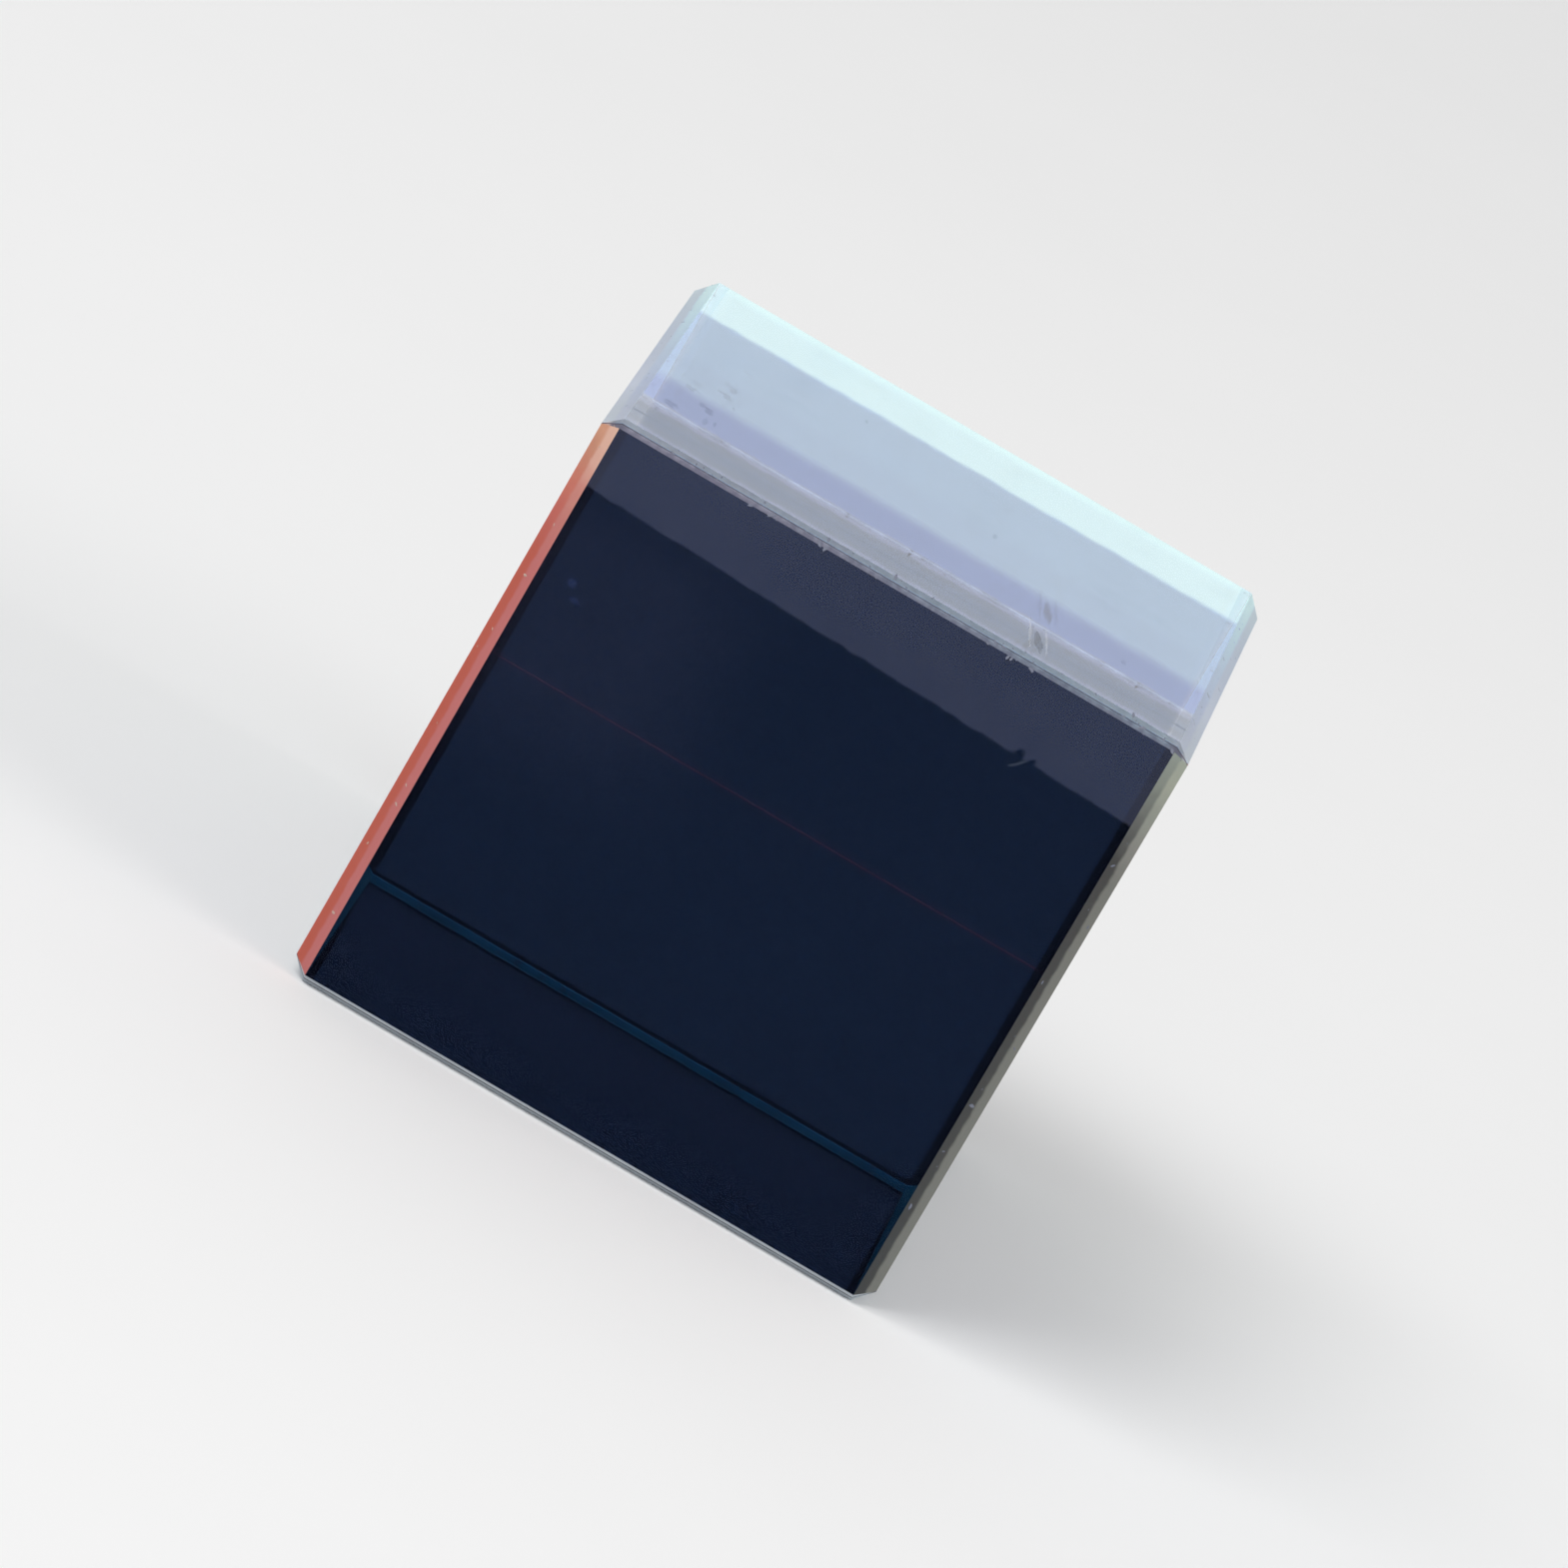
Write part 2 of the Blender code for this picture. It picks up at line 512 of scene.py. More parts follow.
# %% The bevels that end the front and the top, each colour with its place in mm
# Painted light: a coral glow low on the left front edge, khaki light on the right, and the light
# that leaks out at the ends of the top.
coral_lit_bevel = end_bevel(
    "ground bevel, coral",
    "Z",
    [
        (16.5, (0.468, 0.090, 0.055)),
        (18.0, (0.491, 0.110, 0.085)),
        (19.3, (0.558, 0.165, 0.115)),
        (20.7, (0.540, 0.245, 0.158)),
        (21.7, (0.658, 0.335, 0.210)),
    ],
    [
        (16.5, (0.503, 0.145, 0.137)),
        (18.0, (0.515, 0.173, 0.150)),
        (19.4, (0.578, 0.233, 0.190)),
        (20.3, (0.672, 0.375, 0.297)),
        (21.7, (0.716, 0.445, 0.340)),
    ],
    0.1,
)
khaki_lit_bevel = end_bevel(
    "ground bevel, khaki",
    "Z",
    [
        (16.8, (0.157, 0.161, 0.143)),
        (18.1, (0.209, 0.211, 0.189)),
        (19.3, (0.245, 0.262, 0.225)),
        (20.5, (0.314, 0.333, 0.272)),
        (21.7, (0.314, 0.350, 0.293)),
    ],
    [
        (17.5, (0.036, 0.038, 0.035)),
        (19.0, (0.098, 0.105, 0.096)),
        (20.5, (0.200, 0.224, 0.193)),
        (21.7, (0.250, 0.285, 0.250)),
    ],
    0.25,
)
lit_side_bevel = end_bevel(
    "ground bevel, top ends",
    "Y",
    [
        (-9.0, (0.56, 0.61, 0.68)),
        (-4.4, (0.68, 0.72, 0.83)),
        (0.0, (0.59, 0.63, 0.73)),
        (10.0, (0.60, 0.65, 0.70)),
    ],
    [
        (-9.0, (0.49, 0.53, 0.66)),
        (-4.4, (0.50, 0.57, 0.76)),
        (0.0, (0.58, 0.69, 0.83)),
        (4.5, (0.65, 0.85, 0.95)),
        (9.0, (0.75, 1.00, 1.00)),
    ],
    0.15,
    0.5,
)


# %% [markdown]
# ## The top front edge
#
# The narrow bevel along the top front edge belongs to two prisms, with a film between them.
# It shows as a mottled grey line: noise sets its lumps, a slow change along X takes it from
# lilac to blue, its lowest part is dark, and both its ends are painted pale with the light
# of the end bevels beside them, pink at the left and grey at the right. More light leaks out
# above the film than below it, so each half has its own pair of greys.

# %% The bevel along the top front edge
DARK_BEVEL = (0.09, 0.09, 0.13)
PINK_LIT_CORNER = (0.48, 0.33, 0.30)
GREY_LIT_CORNER = (0.38, 0.41, 0.44)
TOWARDS_BLUE = (0.82, 1.05, 1.02)
NEAR_END = (MID_END / MM - 0.75, MID_END / MM - 0.35)  # mm from the middle, where it darkens
ON_CORNER = (MID_END / MM - 0.05, MID_END / MM + 0.1)  # and where it turns pale
LOW_ON_BEVEL = (0.4 * LONG_BEVEL / MM, LONG_BEVEL / MM)  # mm below the cube's top


def top_front_bevel(name, dark, light, through):
    """Mottled grey, more lilac at left, bluer at right, and pale with painted light at both ends.
    """
    finish = Finish(name)
    x, _, z = finish.place()
    right = finish.ease(x + finish.wander(size=1.5, detail=3.0, amount=8.0), -8.0, 8.0)
    lumps = finish.ease(finish.speckle(size=0.25, detail=4.0), 0.32, 0.68)
    lilac = finish.blend(lumps, dark, light)
    bluer = finish.node(
        "ShaderNodeMix",
        {"data_type": "RGBA", "blend_type": "MULTIPLY"},
        {0: right, 6: lilac, 7: TOWARDS_BLUE},
    ).outputs[2]
    low = finish.ease(SIDE / MM - z, *LOW_ON_BEVEL) * 0.6
    near_end = finish.ease(x.size(), *NEAR_END) * 0.9
    line = finish.blend(low.most(near_end), bluer, DARK_BEVEL)
    # painted light: both ends take the glow of the end bevels, pink at the left, grey at the
    # right
    corner = finish.blend(finish.ease(x, -1.0, 1.0), PINK_LIT_CORNER, GREY_LIT_CORNER)
    colour = finish.blend(finish.ease(x.size(), *ON_CORNER), line, corner)
    patches = finish.ease(finish.speckle(size=1.2, detail=3.0), 0.3, 0.7)
    leaking = (0.7 + patches * 0.6) * through
    return finish.show(ground_glass(finish, colour, glow=0.2, through=leaking))


upper_front_bevel = top_front_bevel(
    "ground bevel, above the film", (0.14, 0.15, 0.20), (0.21, 0.22, 0.27), 0.6
)
lower_front_bevel = top_front_bevel(
    "ground bevel, below the film", (0.13, 0.13, 0.19), (0.27, 0.27, 0.35), 0.1
)


# %% [markdown]
# ## Plain ground glass
#
# The other bevels and the two ends need less: two close shades, and soft clouds of one in
# the other. No light has to pass the ends, so they are left ground, and a carrier plate is
# often cemented to one of them. Each of the four prisms shows there as a triangle, tinted
# by the light that leaks out of it.


# %% The other bevels and the ends
def plain_ground(name, shade, lighter):
    finish = Finish(name)
    cloud = finish.ease(finish.speckle(size=3.0, detail=4.0), 0.3, 0.7)
    colour = finish.blend(cloud, shade, lighter)
    return finish.show(ground_glass(finish, colour, through=0.2))


pale_bevel = plain_ground("ground bevel, pale", (0.50, 0.55, 0.60), (0.60, 0.66, 0.70))
END_TINTS = {  # a shade for each prism, and the lighter one that it drifts to
    "prism_top": ((0.47, 0.53, 0.62), (0.56, 0.62, 0.70)),
    "prism_front": ((0.30, 0.34, 0.46), (0.38, 0.43, 0.54)),
    "prism_back": ((0.44, 0.52, 0.54), (0.52, 0.61, 0.62)),
    "prism_bottom": ((0.42, 0.43, 0.47), (0.50, 0.51, 0.54)),
}
END_FINISHES = {
    prism: plain_ground("ground end, " + prism, shade, lighter)
    for prism, (shade, lighter) in END_TINTS.items()
}
print("Made six bevels and", len(END_FINISHES), "ends")

# %% [markdown]
# ## Where the films come out
#
# Each film with its cement is thinner than a hair, so outside it is only a dark line: a
# cross on each end and a stripe along four edges. Its rim gets a dull, gritty dark grey.


# %% The rims of the films
def cement_rim():
    finish = Finish("cement line")
    grit = finish.speckle(size=0.1, detail=2.0)
    dull = {"Base Color": finish.blend(grit, (0.05, 0.05, 0.08), (0.12, 0.12, 0.16))}
    return finish.show(finish.principled({**dull, "Roughness": 0.6}))


film_rim = cement_rim()
print("Made the", film_rim.name)

# %% [markdown]
# ## The mirror films
#
# A dichroic film mirrors one part of the spectrum and lets the rest through, and which part
# that is shifts with the angle at which the light meets it. Seen through the pale top face,
# the cube shows bands of reflected light: grey, lavender, ice blue and a bright cyan at the
# back. Here these bands are painted reflections: each film is a smooth mirror whose colour
# follows Y through a Color Ramp. Light always meets both films before it comes back out, so
# what the eye sees is the product of two colours, and each colour below is worked out from
# the other film's.

# %% Colours that the eye sees after both films
DEEP_RED = (0.45, 0.10, 0.12)
WARM_SILVER = (0.95, 0.88, 0.80)
EVEN_SILVER = (1.0, 1.0, 1.0)
NAVY = (0.0036, 0.0078, 0.0210)


def other_film(seen, first):
    """What the second film has to reflect for both together to show the colour seen."""
    return tuple(min(1.0, pair / one) for pair, one in zip(seen, first))


DEEP_BLUE = other_film(NAVY, DEEP_RED)
# Painted reflections: the bands of light seen through the top face, as colours on the films.
TOP_REFLECTION_BANDS = [  # Y in mm where each starts on the blue film, its edge's softness, colour seen
    (0.0, 0.1, (0.147, 0.184, 0.248)),
    (0.73, 0.16, (0.255, 0.283, 0.395)),
    (1.08, 0.04, (0.328, 0.358, 0.460)),
    (1.27, 0.06, (0.212, 0.293, 0.560)),
    (3.02, 0.7, (0.368, 0.505, 0.662)),
    (8.32, 0.25, (0.722, 1.000, 1.000)),
]
reflection_bands_over_silver = [
    (start, softness, other_film(seen, WARM_SILVER)) for start, softness, seen in TOP_REFLECTION_BANDS
]
print("The blue film's own blue is", [round(part, 3) for part in DEEP_BLUE])

# %% [markdown]
# ## A film with bands
#
# The painted bands get no ruled edges: noise moves the edge of each band a little, but not
# at the middle, where the films cross. Behind that crossing, close to the cube's ends, each
# film turns part way to an even silver.

# %% A film that changes colour along Y
CROSSING_REACH = 0.6  # mm either side of the middle in which the noise comes in
SILVER_ENDS = (10.0, 10.25)  # mm from the middle along X, between which the film turns silver
SILVER_SHARE = 0.2


def band_stops(bands):
    """Ramp stops for (start, softness, colour) bands that each hold until the next starts."""
    stops = [(-HALF / MM, bands[0][2])]
    for (_, _, colour), (start, softness, following) in zip(bands, bands[1:]):
        stops.append((start - softness / 2, colour))
        stops.append((start + softness / 2, following))
    return stops + [(HALF / MM, bands[-1][2])]


def mirror_film(name, bands):
    """A smooth mirror that runs through (start in mm, softness in mm, colour) bands."""
    finish = Finish(name)
    x, y, _ = finish.place()
    waves = finish.wander(size=0.8, detail=5.0, amount=0.3)
    wavy_y = y + waves * finish.ease(y.size(), 0.0, CROSSING_REACH)
    silvered = finish.ease(x.size(), *SILVER_ENDS) * finish.ease(y, 0.0, 0.1) * SILVER_SHARE
    colour = finish.ramp(wavy_y, band_stops(bands))
    mirror = {
        "Base Color": finish.blend(silvered, colour, EVEN_SILVER),
        "Metallic": 1.0,
        "Roughness": 0.0,
    }
    return finish.show(finish.principled(mirror))


# %% [markdown]
# ## Two sides of one film
#
# Light meets each side of a film from another prism, so each side gets a finish of its own.
# With them goes a direction square to the film: the side that faces along it wears the
# first finish, the other side the second.

# %% The two sides of each film
DEEP_BLUE_BAND = (-HALF / MM, 0.0, DEEP_BLUE)
ICE_BLUE_BAND = reflection_bands_over_silver[-2]
FILM_SIDES = {
    "blue_mirror_film": (
        Vector((0, -1, 1)).normalized(),
        mirror_film("blue film, top side", [DEEP_BLUE_BAND] + reflection_bands_over_silver),
        mirror_film("blue film, under side", [ICE_BLUE_BAND, (0.0, 0.1, DEEP_BLUE)]),
    ),
    "red_mirror_film_upper": (
        Vector((0, 1, 1)).normalized(),
        mirror_film(
            "red film, top side", [(0.0, 0.0, WARM_SILVER), (-3.8, 0.3, EVEN_SILVER)]
        ),
        mirror_film("red film, front side", [(0.0, 0.0, DEEP_RED)]),
    ),
    "red_mirror_film_lower": (
        Vector((0, 1, 1)).normalized(),
        mirror_film("red film, back side", [(0.0, 0.0, DEEP_RED)]),
        mirror_film("red film, under side", [(0.0, 0.0, WARM_SILVER)]),
    ),
}
print("Made both sides of", len(FILM_SIDES), "films")

# %% [markdown]
# ## Putting each finish on its faces
#
# The solids stay exactly as they are, and only their faces are told which finish to wear.
# A face's normal says what it is: along X it is an end, partly along X it is a bevel at an
# end, straight along Y or Z it is a polished face. A slanted face is either a long bevel,
# which lies far out, or a cemented leg, which passes close to the middle.

# %% Which finish a prism's face wears
CENTRE = Vector((0, 0, HALF))
STRAIGHT = 0.9  # the least part of a normal along an axis that it points along
SLANTED = 0.1  # the least part along X of an end bevel's normal
CORNER = 0.3  # and along both Y and Z where a long bevel runs into the end
FAR_OUT = 0.8 * HALF  # farther from the centre than any cemented leg


def long_bevel_finish(node, normal):
    if normal.y < 0 < normal.z:
        return upper_front_bevel if node == "prism_top" else lower_front_bevel
    return pale_bevel


def end_bevel_finish(node, normal):
    if min(abs(normal.y), abs(normal.z)) > CORNER:
        return long_bevel_finish(node, normal)
    if node == "prism_front":
        return coral_lit_bevel if normal.x < 0 else khaki_lit_bevel
    return lit_side_bevel if node == "prism_top" else pale_bevel


def slanted_finish(node, normal, centre):
    far_out = normal.dot(centre - CENTRE) > FAR_OUT
    return long_bevel_finish(node, normal) if far_out else cemented


def prism_finish(node, face):
    normal = face.normal
    if abs(normal.x) > STRAIGHT:
        return END_FINISHES[node]
    if abs(normal.x) > SLANTED:
        return end_bevel_finish(node, normal)
    if max(abs(normal.y), abs(normal.z)) > STRAIGHT:
        return {"prism_front": coated_front, "prism_top": coated_top}.get(node, coated_face)
    return slanted_finish(node, normal, face.center)


# %% Which finish a film's face wears
def film_finish(node, face):
    towards, near_side, far_side = FILM_SIDES[node]
    facing = face.normal.dot(towards)
    if abs(facing) < 0.5:
        return film_rim
    return near_side if facing > 0 else far_side


# %% Dress the solids
def dress(node, choose):
    """Gives every face of a node the finish that choose(node, face) names."""
    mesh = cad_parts[node].data
    mesh.materials.clear()
    worn = []
    for face in mesh.polygons:
        finish = choose(node, face)
        if finish not in worn:
            worn.append(finish)
            mesh.materials.append(finish)
        face.material_index = worn.index(finish)
    print(node, "wears", ", ".join(finish.name for finish in worn))


for prism in END_FINISHES:
    dress(prism, prism_finish)
for film in FILM_SIDES:
    dress(film, film_finish)

# %% [markdown]
# ## Recipes for small damage
#
# Nicks along an edge and scratches on a face both follow a path, so Geometry Nodes make
# them. A recipe is a node tree with named inputs for its sizes. It runs once on a few guide
# lines, and its result is kept as a plain mesh.


# %% A recipe, and running it
class Recipe(Nodes):
    """A Geometry Nodes tree with a guide mesh and named inputs."""

    def __init__(self, name, inputs):
        super().__init__(bpy.data.node_groups.new(name, "GeometryNodeTree"))
        self.add_input("Guide", "Geometry")
        for label, kind in inputs.items():
            self.add_input(label, kind)
        self.tree.interface.new_socket(
            "Geometry", in_out="OUTPUT", socket_type="NodeSocketGeometry"
        )
        self.given = self.node("NodeGroupInput").outputs

    def add_input(self, label, kind):
        self.tree.interface.new_socket(label, in_out="INPUT", socket_type="NodeSocket" + kind)

    def step(self, kind, geometry, settings=None, sockets=None):
        """A node that takes a geometry in its first socket and gives one in its first."""
        return self.node(kind, settings, {0: geometry, **(sockets or {})}).outputs[0]

    def moved(self, geometry, offset):
        return self.step("GeometryNodeSetPosition", geometry, None, {"Offset": offset})

    def chance(self, seed, low=0.0, high=1.0):
        """A random number for each point."""
        sockets = {2: low, 3: high, "Seed": seed}
        return self.number("FunctionNodeRandomValue", 1, {"data_type": "FLOAT"}, sockets)

    def finish_with(self, geometry):
        real = self.step("GeometryNodeRealizeInstances", geometry)
        worn = self.step("GeometryNodeSetMaterial", real, None, {2: self.given["Finish"]})
        self.node("NodeGroupOutput", None, {0: worn})


def run(recipe, name, points, lines, values):
    """Runs a recipe on guide lines and leaves its result as a plain mesh object."""
    guide = bpy.data.meshes.new(name)
    guide.from_pydata(points, lines, [])
    piece = bpy.data.objects.new(name, guide)
    bpy.context.scene.collection.objects.link(piece)
    modifier = piece.modifiers.new("recipe", "NODES")
    modifier.node_group = recipe.tree
    for socket in recipe.tree.interface.items_tree:
        if socket.name in values:
            modifier[socket.identifier] = values[socket.name]
    graph = bpy.context.evaluated_depsgraph_get()
    made = bpy.data.meshes.new_from_object(piece.evaluated_get(graph))
    piece.modifiers.remove(modifier)
    piece.data = made
    print(name, "has", len(made.polygons), "faces")
    return piece


# %% [markdown]
# ## Nicks and chips along the edges
#
# Where the cube has been knocked, glass has flaked off its ground bevels and left small
# scars. Each is a ball of 80 faces that noise has made uneven, pressed thin and laid flat on
# the bevel. The recipe walks along an edge, keeps only some of its points, moves them off
# the line, and gives each flake its own turn and size. Cubing a random number makes most
# of them tiny.

# %% The recipe for nicks
FLAKE_SHAPE = (1.0, 0.55, 0.18)  # half its length, width and thickness, for a size of 1
NICK_INPUTS = {
    **dict.fromkeys(("Spacing", "Share Kept", "Sideways", "Smallest", "Largest"), "Float"),
    "Facing": "Vector",
    "Seed": "Int",
    "Finish": "Material",
}


def nick_recipe():
    recipe = Recipe("nicks along an edge", NICK_INPUTS)
    given = recipe.given
    seed = Number(recipe, given["Seed"])
    path = recipe.step("GeometryNodeMeshToCurve", given["Guide"])
    path = recipe.step(
        "GeometryNodeResampleCurve", path, {"mode": "LENGTH"}, {"Length": given["Spacing"]}
    )
    along = recipe.node("GeometryNodeInputTangent").outputs[0]
    across = recipe.vector("CROSS_PRODUCT", along, given["Facing"])
    slide = recipe.chance(given["Seed"], -0.5, 0.5) * Number(recipe, given["Spacing"])
    drift = recipe.chance(seed + 1, -0.5, 0.5) * Number(recipe, given["Sideways"])
    for direction, distance in ((along, slide), (across, drift)):
        path = recipe.moved(path, recipe.vector("SCALE", direction, distance))
    lump = recipe.node("GeometryNodeMeshIcoSphere", None, {"Radius": 1.0, "Subdivisions": 2})
    rough = recipe.node("ShaderNodeTexNoise", None, {"Scale": 1.4}).outputs[1]
    rough = recipe.vector("SCALE", recipe.vector("SUBTRACT", rough, (0.5, 0.5, 0.5)), 2.0)
    flake = recipe.moved(lump.outputs[0], rough)
    keep = recipe.node(
        "FunctionNodeRandomValue",
        {"data_type": "BOOLEAN"},
        {"Probability": given["Share Kept"], "Seed": given["Seed"]},
    )
    flat = recipe.node(
        "FunctionNodeAlignRotationToVector", {"axis": "Z"}, {"Vector": given["Facing"]}
    )
    spin = recipe.node(
        "FunctionNodeRandomValue",
        {"data_type": "FLOAT_VECTOR"},
        {0: (0, 0, 0), 1: (0, 0, math.tau), "Seed": given["Seed"]},
    )
    turn = recipe.node(
        "FunctionNodeRotateRotation",
        {"rotation_space": "LOCAL"},
        {"Rotation": flat.outputs[0], "Rotate By": spin.outputs[0]},
    )
    smallest = Number(recipe, given["Smallest"])
    spread = Number(recipe, given["Largest"]) - smallest
    size = smallest + spread * recipe.chance(seed + 2) ** 3.0
    placed = recipe.step(
        "GeometryNodeInstanceOnPoints",
        path,
        None,
        {
            "Selection": keep.outputs[3],
            "Instance": flake,
            "Rotation": turn.outputs[0],
            "Scale": recipe.vector("SCALE", FLAKE_SHAPE, size),
        },
    )
    recipe.finish_with(placed)
    return recipe


nicks = nick_recipe()
print("The recipe for nicks has", len(nicks.tree.nodes), "nodes")

# %% [markdown]
# ## The glass inside a chip
#
# Glass breaks in small shells, so a fresh scar is rippled. A bump from fine noise gives the
# ripples, and the same noise mixes two shades. A scar also takes on the light around it:
# warm beside the coral glow, pale on the top, grey elsewhere.

# %% Three shades of broken glass
RIPPLE_DEPTH = 0.02 * MM


def chipped_glass(name, shade, lighter):
    finish = Finish(name)
    ripple = finish.speckle(size=0.06, detail=2.0)
    surface = finish.principled(
        {
            "Base Color": finish.blend(ripple, shade, lighter),
            "Roughness": 0.5,
            "IOR": GLASS_INDEX,
            "Normal": finish.bumped(ripple, RIPPLE_DEPTH, 0.5),
        }
    )
    return finish.show(finish.layer(0.15, surface, finish.plain("Translucent", lighter)))


grey_chip = chipped_glass("fresh chip, grey", (0.13, 0.145, 0.20), (0.28, 0.30, 0.39))
pale_chip = chipped_glass("fresh chip, pale", (0.38, 0.42, 0.50), (0.66, 0.71, 0.80))
warm_chip = chipped_glass("fresh chip, warm", (0.45, 0.30, 0.24), (0.75, 0.58, 0.50))

# %% [markdown]
# ## Where the cube was knocked
#
# Fine nicks crowd all along the top front edge, a few larger chips sit low on it, and the
# bevels at both ends have sparser ones. One recipe makes them all, from different numbers.

# %% Nicks on the edges that show most
FLAT_REACH = HALF - END_BEVEL
TOP_FRONT_FACING = (0, -math.sqrt(0.5), math.sqrt(0.5))


def edge_guides(corners):
    """Guide points and lines for edges, from pairs of end points."""
    points = [point for pair in corners for point in pair]
    return points, [(2 * i, 2 * i + 1) for i in range(len(corners))]


def top_front_line(start, end, down=0.5):
    """A line along the top front bevel. down is 0 at its upper edge and 1 at its lower one."""
    y = -(HALF - LONG_BEVEL * (1 - down))
    z = SIDE - LONG_BEVEL * down
    return [(start, y, z), (end, y, z)]


def end_nicks(side, name, seed):
    """Nicks on the upright bevel and on the top bevel at one end."""
    x = side * MID_END
    z = SIDE - END_BEVEL / 2
    upright = [(x, -MID_END, END_BEVEL), (x, -MID_END, SIDE - END_BEVEL)]
    over_top = [(x, -FLAT_REACH, z), (x, FLAT_REACH, z)]
    pieces = []
    for part, facing, line, finish in (
        ("upright", (side, -1, 0), upright, warm_chip if side < 0 else grey_chip),
        ("top", (side, 0, 1), over_top, pale_chip),
    ):
        values = {
            "Spacing": 0.8 * MM,
            "Share Kept": 0.5,
            "Sideways": END_BEVEL,
            "Facing": Vector(facing).normalized(),
            "Smallest": 0.03 * MM,
            "Largest": 0.12 * MM,
            "Seed": seed,
            "Finish": finish,
        }
        pieces.append(run(nicks, f"{name}_{part}_nicks", *edge_guides([line]), values))
    return pieces


edge_nicks = run(
    nicks,
    "edge_nicks",
    *edge_guides([top_front_line(-FLAT_REACH, FLAT_REACH)]),
    {
        "Spacing": 0.16 * MM,
        "Share Kept": 0.5,
        "Sideways": LONG_BEVEL * 1.5,
        "Facing": TOP_FRONT_FACING,
        "Smallest": 0.03 * MM,
        "Largest": 0.11 * MM,
        "Seed": 4,
        "Finish": grey_chip,
    },
)
edge_chips = run(
    nicks,
    "edge_chips",
    *edge_guides(
        [
            top_front_line(4.22 * MM, 4.32 * MM, 1.1),
            top_front_line(5.02 * MM, 5.08 * MM, 1.0),
            top_front_line(-2.70 * MM, -2.66 * MM, 1.0),
            top_front_line(3.55 * MM, 3.70 * MM, 0.6),
        ]
    ),
    {
        "Spacing": 0.12 * MM,
        "Share Kept": 1.0,
        "Sideways": LONG_BEVEL / 3,
        "Facing": (0, -0.8, 0.6),
        "Smallest": 0.07 * MM,
        "Largest": 0.10 * MM,
        "Seed": 2,
        "Finish": grey_chip,
    },
)
left_nicks = end_nicks(-1, "left", 9)
right_nicks = end_nicks(1, "right", 5)

# %% [markdown]
# ## Scratches
#
# A scratch in glass is a row of tiny fractures with a dark groove between pale sides. The
# recipe draws a thin tube along a guide line, makes it thin at both ends and uneven along
# its length, and presses it almost flat against the face.


# %% The recipe for a scratch
DRIFT_LUMPS = 2500.0  # lumps of noise to a metre, so 0.4 mm each
SWELL_LUMPS = 4000.0  # and 0.25 mm each
SCRATCH_INPUTS = {
    **dict.fromkeys(("Width", "Wander", "Flatness"), "Float"),
    **dict.fromkeys(("Face Point", "Face Normal"), "Vector"),
    "Finish": "Material",
}


def scratch_recipe():
    recipe = Recipe("scratch along a line", SCRATCH_INPUTS)
    given = recipe.given
    path = recipe.step("GeometryNodeMeshToCurve", given["Guide"])
    path = recipe.step("GeometryNodeResampleCurve", path, None, {"Count": 20})
    drift = recipe.node("ShaderNodeTexNoise", None, {"Scale": DRIFT_LUMPS}).outputs[1]
    drift = recipe.vector("SUBTRACT", drift, (0.5, 0.5, 0.5))
    drift = recipe.vector("SCALE", drift, given["Wander"])
    path = recipe.moved(path, drift)
    along = recipe.number("GeometryNodeSplineParameter", 0)
    swell = recipe.number("ShaderNodeTexNoise", 0, None, {"Scale": SWELL_LUMPS}) + 0.5
    taper = 4.0 * along * (1.0 - along) + 0.03
    radius = taper * swell * (Number(recipe, given["Width"]) / 2)
    ring = recipe.node("GeometryNodeCurvePrimitiveCircle", None, {"Resolution": 6, "Radius": 1.0})
    tube = recipe.step(
        "GeometryNodeCurveToMesh",
        path,
        None,
        {"Profile Curve": ring.outputs[0], "Scale": radius, "Fill Caps": True},
    )
    from_face = recipe.vector(
        "SUBTRACT", recipe.node("GeometryNodeInputPosition").outputs[0], given["Face Point"]
    )
    height = recipe.number(
        "ShaderNodeVectorMath",
        "Value",
        {"operation": "DOT_PRODUCT"},
        {0: from_face, 1: given["Face Normal"]},
    )
    press = height * (Number(recipe, given["Flatness"]) - 1.0)
    recipe.finish_with(recipe.moved(tube, recipe.vector("SCALE", given["Face Normal"], press)))
    return recipe


scratches = scratch_recipe()
print("The recipe for scratches has", len(scratches.tree.nodes), "nodes")

# %% [markdown]
# ## The glass of a scratch
#
# A scratch in clear glass hides little: the colours below show through it, darker in the
# groove and paler at its sides. So a Transparent shader lets most light pass, and cover is
# the most that the gritty part may hide.


# %% The groove and its sides
def worn_glass(name, shade, lighter, cover):
    """Scuffed glass that hides only part of what is behind it."""
    finish = Finish(name)
    grit = finish.speckle(size=0.08, detail=3.0)
    dull = {"Base Color": finish.blend(grit, shade, lighter), "Roughness": 0.6}
    surface = finish.principled(dull)
    clear = finish.plain("Transparent", CLEAR)
    return finish.show(finish.layer(finish.ease(grit, 0.2, 0.5) * cover, clear, surface))


groove = worn_glass("scratch groove", (0.01, 0.012, 0.02), (0.04, 0.045, 0.06), 0.17)
groove_side = worn_glass("scratch side", (0.85, 0.87, 0.93), (0.95, 0.97, 1.00), 0.12)
slate_scuff = worn_glass("scuff on the front", (0.02, 0.033, 0.065), (0.038, 0.06, 0.105), 0.6)

# %% [markdown]
# ## One gouge and one tick
#
# Something hard has slid off the top near the right end and left a gouge: a dark groove
# between two pale sides. On the front, at the lower edge of the bare strip, there is a
# small dark tick of two strokes. Each stroke is one guide line.

# %% The gouge on the top face and the tick on the front
TOP = {"Face Point": (0, 0, SIDE), "Face Normal": (0, 0, 1)}
FRONT = {"Face Point": (0, -HALF, HALF), "Face Normal": (0, -1, 0)}
FLAT = {"Flatness": 0.04, "Wander": 0.05 * MM}


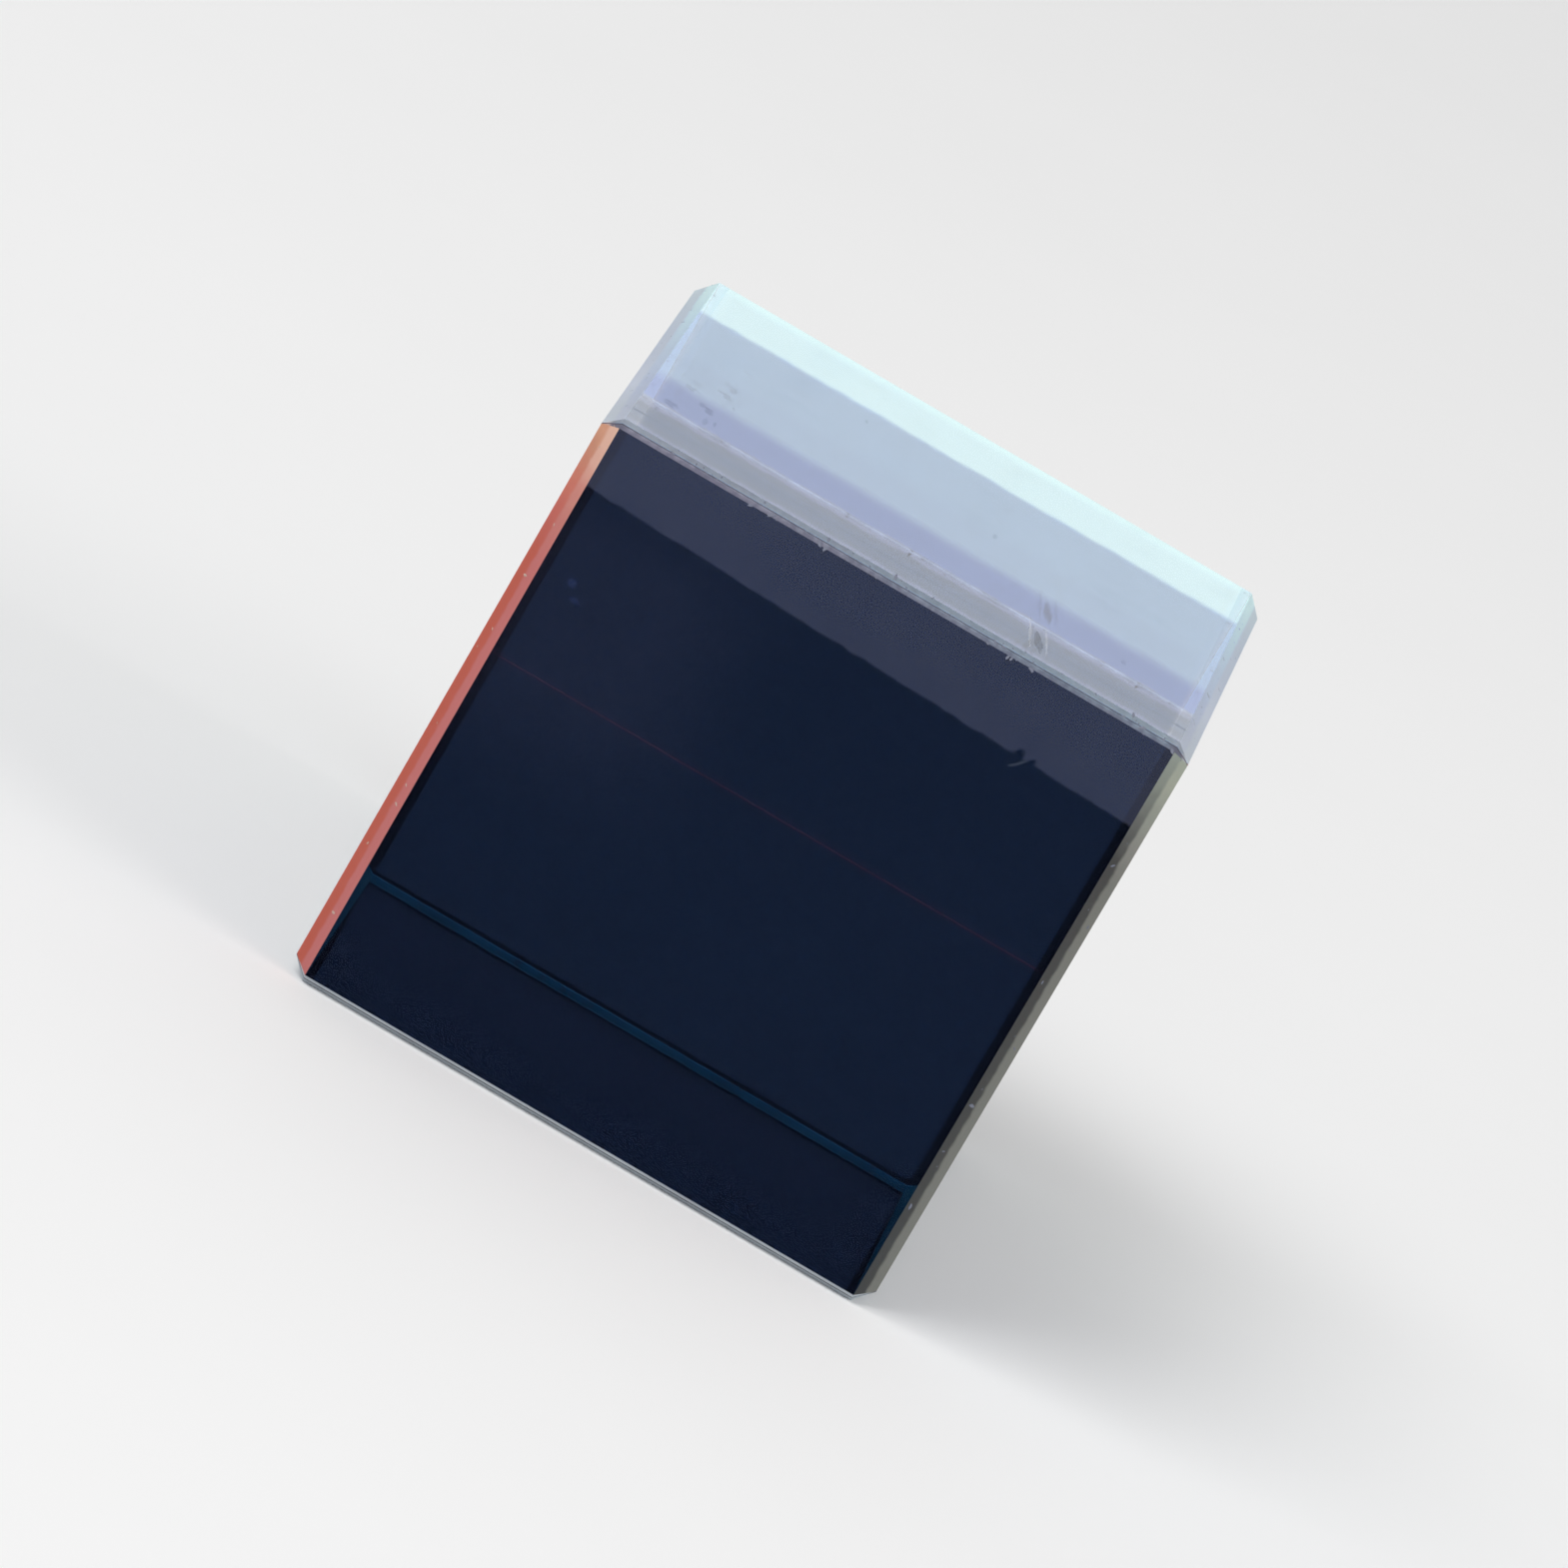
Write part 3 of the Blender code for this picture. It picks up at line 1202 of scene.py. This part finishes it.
def on_top(strokes):
    """Guide ends on the top face, from X and Y in mm."""
    return edge_guides([[(x * MM, y * MM, SIDE) for x, y in stroke] for stroke in strokes])


def on_front(strokes):
    """Guide ends on the front face, from X and Z in mm."""
    return edge_guides([[(x * MM, -HALF, z * MM) for x, z in stroke] for stroke in strokes])


GOUGE = [((4.60, -7.6), (5.04, -10.0))]
GOUGE_SIDES = [((4.19, -6.4), (4.66, -10.0)), ((4.83, -6.7), (5.27, -9.8))]
TICK = [((6.02, 18.54), (6.46, 18.98)), ((5.96, 18.50), (6.16, 18.66))]
SCRATCHES = [  # name, guides, width in mm, finish, face
    ("top_gouge", on_top(GOUGE), 0.28, groove, TOP),
    ("top_gouge_sides", on_top(GOUGE_SIDES), 0.12, groove_side, TOP),
    ("front_tick", on_front(TICK), 0.12, slate_scuff, FRONT),
]
scratch_pieces = [
    run(scratches, name, *guides, {"Width": width * MM, "Finish": finish, **FLAT, **face})
    for name, guides, width, finish, face in SCRATCHES
]

# %% [markdown]
# ## Part of the cube
#
# Chips and scratches are glass, not things laid on it, so every added piece belongs to the
# cube's one body.

# %% Everything added is glass of the one body
ADDED = [edge_nicks, edge_chips, *left_nicks, *right_nicks, *scratch_pieces]
for piece in ADDED:
    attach(piece, "root")
print(len(ADDED), "pieces added")

# %% [markdown]
# ## A plain studio
#
# Glass shows its surroundings more than itself, so they are kept plain: a pale floor, a
# large soft lamp from the upper left and a weaker one from the right. Rays that the camera,
# a mirror or the glass sends out find a white sky, and the sky lights the rest more gently,
# so that a colour renders about as it is written and the floor keeps the cube's shadow.

# %% The light
SKY_LIGHT = 0.5
LAMP_SIDE = 0.4
KEY_PLACE = (-0.35, -0.25, 0.6)
KEY_WATTS = 2.4
FILL_PLACE = (0.5, -0.1, 0.4)
FILL_WATTS = 0.8
WHITE = (1, 1, 1)


def soft_lamp(name, place, watts):
    """A square lamp that looks at the middle of the cube."""
    data = bpy.data.lights.new(name, "AREA")
    data.shape = "SQUARE"
    data.size = LAMP_SIDE
    data.energy = watts
    lamp = bpy.data.objects.new(name, data)
    bpy.context.scene.collection.objects.link(lamp)
    lamp.location = place
    lamp.rotation_euler = (CENTRE - Vector(place)).to_track_quat("-Z", "Y").to_euler()


def white_sky():
    finish = Finish("white sky", world=True)
    ray = finish.node("ShaderNodeLightPath").outputs
    mirrored = Number(finish, ray["Is Glossy Ray"]).most(ray["Is Transmission Ray"])
    seen = mirrored.most(ray["Is Camera Ray"])
    lighting = finish.shader("ShaderNodeBackground", {"Color": WHITE, "Strength": SKY_LIGHT})
    white = finish.shader("ShaderNodeBackground", {"Color": WHITE, "Strength": 1.0})
    return finish.show(finish.layer(seen, lighting, white))


soft_lamp("key lamp", KEY_PLACE, KEY_WATTS)
soft_lamp("fill lamp", FILL_PLACE, FILL_WATTS)
bpy.context.scene.world = white_sky()
print("Lit by", KEY_WATTS, "W from the left and", FILL_WATTS, "W from the right")

# %% [markdown]
# ## The floor
#
# Pale, matt paper. It reaches so far that the camera finds no edge behind the cube.

# %% A sheet of pale paper
FLOOR_REACH = 3.0
PALE_PAPER = (0.93, 0.93, 0.93)
PALER_PAPER = (0.95, 0.95, 0.95)


def paper_floor():
    finish = Finish("pale paper")
    fibre = finish.speckle(size=16.0, detail=4.0)
    shade = finish.blend(fibre, PALE_PAPER, PALER_PAPER)
    paper = {"Base Color": shade, "Roughness": 0.9, "Specular IOR Level": 0.2}
    material = finish.show(finish.principled(paper))
    corners = [(-1, -1), (1, -1), (1, 1), (-1, 1)]
    mesh = bpy.data.meshes.new("studio_floor")
    mesh.from_pydata([(x * FLOOR_REACH, y * FLOOR_REACH, 0) for x, y in corners], [], [range(4)])
    mesh.materials.append(material)
    floor = bpy.data.objects.new("studio_floor", mesh)
    bpy.context.scene.collection.objects.link(floor)
    return floor


paper_floor()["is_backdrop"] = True
print("The floor reaches", FLOOR_REACH, "m each way")

# %% [markdown]
# ## The camera
#
# It looks at the front face from a little above and straight on, about half a metre away
# through a long lens, and it is rolled, so that the cube stands tilted. The roll is made by
# turning the camera's own right and up about the line of sight. Light crosses the cube many
# times before it comes out, so Cycles may follow it for longer.

# %% Aim the camera
ELEVATION = math.radians(16.0)
ROLL = math.radians(30.26)
DISTANCE = 22.4 * SIDE
LENS = 340.0
NEAREST = 0.01


def aim_camera():
    data = bpy.data.cameras.new("camera")
    data.lens = LENS
    data.clip_start = NEAREST
    camera = bpy.data.objects.new("camera", data)
    bpy.context.scene.collection.objects.link(camera)
    back = Vector((0, -math.cos(ELEVATION), math.sin(ELEVATION)))
    level_right = Vector((1, 0, 0))
    level_up = back.cross(level_right)
    right = level_right * math.cos(ROLL) + level_up * math.sin(ROLL)
    up = level_up * math.cos(ROLL) - level_right * math.sin(ROLL)
    turn = Matrix((right, up, back)).transposed().to_4x4()
    camera.matrix_world = Matrix.Translation(CENTRE + back * DISTANCE) @ turn
    return camera


scene = bpy.context.scene
scene.camera = aim_camera()
scene.view_settings.view_transform = "Standard"
print(f"The camera stands {DISTANCE:.2f} m away behind a lens of {LENS:.0f} mm")

# %% Let light take its long way
FILM_BOUNCES = 24
ALL_BOUNCES = 32
scene.cycles.max_bounces = ALL_BOUNCES
scene.cycles.glossy_bounces = FILM_BOUNCES
scene.cycles.transmission_bounces = FILM_BOUNCES
scene.cycles.transparent_max_bounces = ALL_BOUNCES

# %% [markdown]
# ## Sizes
#
# Dressing the cube should leave its size as it was, so the box of the solids and the box of
# the dressed cube are both printed.

# %% Print both boxes
low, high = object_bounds()
boxes = {"cad": [list(cad_low), list(cad_high)], "visual": [list(low), list(high)]}
for name, (corner, opposite) in boxes.items():
    print(name, [round((b - a) / MM, 3) for a, b in zip(corner, opposite)], "mm")
